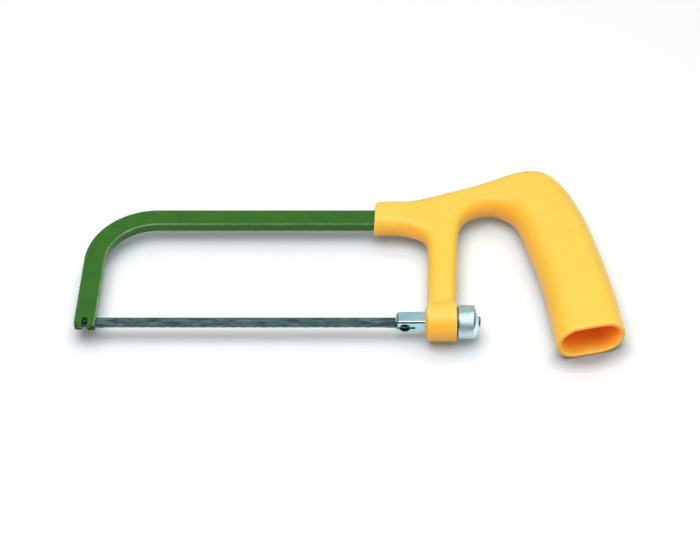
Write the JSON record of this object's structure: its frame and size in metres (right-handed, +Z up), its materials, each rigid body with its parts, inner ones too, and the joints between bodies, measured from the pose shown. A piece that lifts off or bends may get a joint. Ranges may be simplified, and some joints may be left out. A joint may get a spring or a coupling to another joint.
{
  "type": "junior hacksaw",
  "caption": "Small hacksaw with a bent flat-bar bow, a hollow plastic pistol handle, a pinned blade, and a knurled thumb nut that draws a slotted bolt back to tension the blade.",
  "frame": {"origin": "middle of the underside of the bounding box, the saw lying on its side", "axes": "+X from the bow's front to the handle, +Y from the blade's teeth to the bow's back, +Z up through the saw's thickness"},
  "size_m": [0.2586, 0.1124, 0.021],
  "materials": {
    "bow_paint": "satin green paint",
    "handle_plastic": "satin yellow moulding",
    "blade_steel": "dark rolled steel",
    "zinc_plate": "bright zinc plate"
  },
  "bodies": {
    "frame": {"bow_frame": "bow_paint", "handle": "handle_plastic", "thrust_washer": "zinc_plate"},
    "blade": {"saw_blade": "blade_steel", "blade_pin_front": "blade_steel", "blade_pin_rear": "blade_steel"},
    "draw_bolt": {"draw_bolt": "zinc_plate"},
    "thumb_nut": {"thumb_nut": "zinc_plate"}
  },
  "joints": [
    {"name": "nut_turn", "type": "hinge", "parent": "frame", "child": "thumb_nut", "pos_m": [0.0564, -0.04096, 0.0105], "axis": [-1, 0, 0], "range_deg": [-360, 0]},
    {"name": "bolt_draw", "type": "slide", "parent": "frame", "child": "draw_bolt", "axis": [1, 0, 0], "range_m": [-0.00105, 0]},
    {"name": "blade_unhook", "type": "slide", "parent": "frame", "child": "blade", "axis": [0, -1, 0], "range_m": [0, 0.01]}
  ],
  "couplings": [
    {"joint": "bolt_draw", "follows": "nut_turn", "m_per_rad": 0.00015915}
  ]
}
